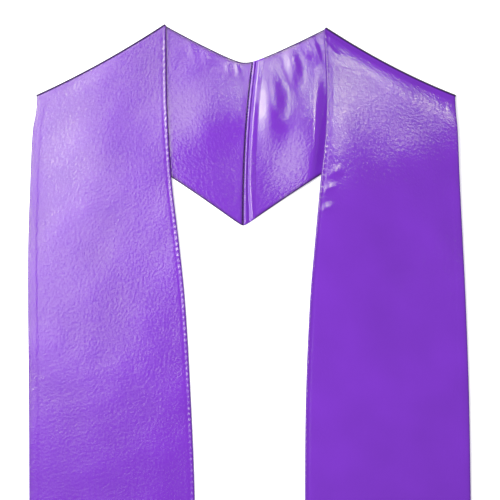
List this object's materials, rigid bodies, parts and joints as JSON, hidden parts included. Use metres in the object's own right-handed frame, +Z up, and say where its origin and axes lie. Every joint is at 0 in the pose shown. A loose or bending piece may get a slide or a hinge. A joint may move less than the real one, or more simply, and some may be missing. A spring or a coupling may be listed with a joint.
{
  "type": "graduation stole",
  "caption": "Satin graduation stole lying flat, folded at the shoulders, with a V-shaped back, a centre back seam and long front panels with pointed ends.",
  "frame": {"origin": "on the surface that the stole lies on, below the centre of its bounding box", "axes": "+Y from the pointed ends of the front panels to the neck, +Z up from the surface, +X to the right of someone who looks down on it with the neck at the top"},
  "size_m": [0.3856, 0.8018, 0.0071],
  "materials": {
    "face_satin": "violet polyester satin, glossy, pressed",
    "lining_satin": "violet polyester satin, glossy, pressed"
  },
  "bodies": {
    "root": {"left_face": "face_satin", "right_face": "face_satin", "left_lining": "lining_satin", "right_lining": "lining_satin", "center_back_seam": "lining_satin"}
  },
  "joints": []
}
